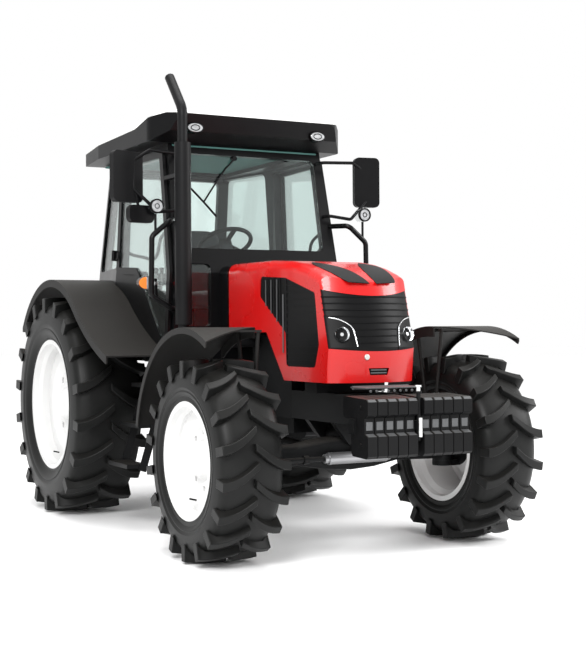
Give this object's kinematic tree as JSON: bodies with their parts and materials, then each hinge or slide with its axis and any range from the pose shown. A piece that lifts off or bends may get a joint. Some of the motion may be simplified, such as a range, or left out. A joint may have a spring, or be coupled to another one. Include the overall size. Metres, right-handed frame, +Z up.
{
  "type": "farm tractor",
  "caption": "Four-wheel-drive farm tractor with a glazed cab, hood, front weights, steered front axle and rear three-point hitch.",
  "frame": {"origin": "on the ground, under the middle of the machine's overall box", "axes": "-Y is the way the tractor drives, +X is its left side, +Z is up"},
  "size_m": [2.14, 4.2894, 2.8896],
  "materials": {
    "tyre_rubber": "matte, worn",
    "wheel_white": "satin",
    "chassis_grey": "satin",
    "casting_grey": "painted, rough",
    "weight_black": "painted, rough",
    "hood_red": "gloss",
    "grille_black": "matte",
    "cab_black": "satin",
    "fender_grey": "grained",
    "roof_white": "satin",
    "trim_black": "grained",
    "window_glass": "clear, faint green",
    "lamp_glass": "clear",
    "mirror_face": "polished",
    "seat_fabric": "woven",
    "cab_trim": "grained",
    "floor_mat": "ribbed",
    "exhaust_black": "heat-proof matte",
    "hitch_steel": "machined, oiled",
    "tank_black": "moulded"
  },
  "bodies": {
    "chassis": {"front_frame": "chassis_grey", "suitcase_weights": "weight_black", "engine": "casting_grey", "transmission_case": "casting_grey", "rear_axle_housing": "casting_grey", "drawbar": "chassis_grey", "top_link": "hitch_steel", "cab_frame": "cab_black", "cab_floor": "floor_mat", "cab_windows": "window_glass", "roof_visor": "trim_black", "roof_cap": "roof_white", "rear_fenders": "fender_grey", "seat_base": "trim_black", "seat_cushions": "seat_fabric", "cab_consoles": "cab_trim", "exhaust_stack": "exhaust_black", "steps": "chassis_grey", "fuel_tank": "tank_black", "battery_box": "tank_black", "handrails": "cab_black", "mirrors": "trim_black", "mirror_glass": "mirror_face", "cab_lamps": "lamp_glass"},
    "front_axle": {"front_axle_beam": "casting_grey", "steering_cylinder": "hitch_steel"},
    "tie_rods": {"tie_rods": "chassis_grey"},
    "knuckle_left": {"knuckle_left": "casting_grey", "front_fender_left": "fender_grey"},
    "knuckle_right": {"knuckle_right": "casting_grey", "front_fender_right": "fender_grey"},
    "wheel_front_left": {"tyre_front_left": "tyre_rubber", "rim_front_left": "wheel_white"},
    "wheel_front_right": {"tyre_front_right": "tyre_rubber", "rim_front_right": "wheel_white"},
    "wheel_rear_left": {"tyre_rear_left": "tyre_rubber", "rim_rear_left": "wheel_white"},
    "wheel_rear_right": {"tyre_rear_right": "tyre_rubber", "rim_rear_right": "wheel_white"},
    "hood": {"hood_shell": "hood_red", "front_grille": "grille_black", "side_grilles": "grille_black", "headlamps": "lamp_glass"},
    "door_left": {"door_left_frame": "cab_black", "door_left_glass": "window_glass"},
    "door_right": {"door_right_frame": "cab_black", "door_right_glass": "window_glass"},
    "steering_wheel": {"steering_wheel": "trim_black"},
    "lift_arms": {"lift_arms": "chassis_grey"},
    "lift_rods": {"lift_rods": "hitch_steel"},
    "lower_links": {"lower_links": "chassis_grey"}
  },
  "joints": [
    {"name": "axle_oscillation", "type": "hinge", "parent": "chassis", "child": "front_axle", "pos_m": [0, -1.34, 0.655], "axis": [0, 1, 0], "range_deg": [-8, 8]},
    {"name": "steer_left", "type": "hinge", "parent": "front_axle", "child": "knuckle_left", "pos_m": [0.68, -1.34, 0.556], "axis": [0, 0, 1], "range_deg": [-35, 35]},
    {"name": "steer_right", "type": "hinge", "parent": "front_axle", "child": "knuckle_right", "pos_m": [-0.68, -1.34, 0.556], "axis": [0, 0, 1], "range_deg": [-35, 35]},
    {"name": "tie_rod_slide", "type": "slide", "parent": "front_axle", "child": "tie_rods", "axis": [1, 0, 0], "range_m": [-0.087, 0.087]},
    {"name": "front_left_wheel_spin", "type": "hinge", "parent": "knuckle_left", "child": "wheel_front_left", "pos_m": [0.82, -1.34, 0.556], "axis": [1, 0, 0], "continuous": true},
    {"name": "front_right_wheel_spin", "type": "hinge", "parent": "knuckle_right", "child": "wheel_front_right", "pos_m": [-0.82, -1.34, 0.556], "axis": [1, 0, 0], "continuous": true},
    {"name": "rear_left_wheel_spin", "type": "hinge", "parent": "chassis", "child": "wheel_rear_left", "pos_m": [0.83, 1, 0.752], "axis": [1, 0, 0], "continuous": true},
    {"name": "rear_right_wheel_spin", "type": "hinge", "parent": "chassis", "child": "wheel_rear_right", "pos_m": [-0.83, 1, 0.752], "axis": [1, 0, 0], "continuous": true},
    {"name": "hood_hinge", "type": "hinge", "parent": "chassis", "child": "hood", "pos_m": [0, -0.38, 1.662], "axis": [-1, 0, 0], "range_deg": [0, 50]},
    {"name": "door_left_hinge", "type": "hinge", "parent": "chassis", "child": "door_left", "pos_m": [0.6744, 0.68627, 1.70081], "axis": [-0.0448, 0.0024, 0.999], "range_deg": [0, 80]},
    {"name": "door_right_hinge", "type": "hinge", "parent": "chassis", "child": "door_right", "pos_m": [-0.6744, 0.68627, 1.70081], "axis": [0.0448, 0.0024, 0.999], "range_deg": [-80, 0]},
    {"name": "steering_wheel_spin", "type": "hinge", "parent": "chassis", "child": "steering_wheel", "pos_m": [0, 0.296, 1.86], "axis": [0, 0.5, 0.866], "continuous": true},
    {"name": "lift_arm_swing", "type": "hinge", "parent": "chassis", "child": "lift_arms", "pos_m": [0, 1.29, 0.9], "axis": [1, 0, 0], "range_deg": [-15, 40]},
    {"name": "lower_link_swing", "type": "hinge", "parent": "chassis", "child": "lower_links", "pos_m": [0, 1.105, 0.44], "axis": [1, 0, 0], "range_deg": [-9.8, 26.1]},
    {"name": "lift_rod_swing", "type": "hinge", "parent": "lift_arms", "child": "lift_rods", "pos_m": [0, 1.56815, 0.78762], "axis": [1, 0, 0], "range_deg": [-47, 17.6]}
  ],
  "couplings": [
    {"joint": "steer_right", "follows": "steer_left", "ratio": 1},
    {"joint": "tie_rod_slide", "follows": "steer_left", "m_per_rad": 0.141},
    {"joint": "lower_link_swing", "follows": "lift_arm_swing", "ratio": 0.65},
    {"joint": "lift_rod_swing", "follows": "lift_arm_swing", "ratio": -1.17}
  ]
}
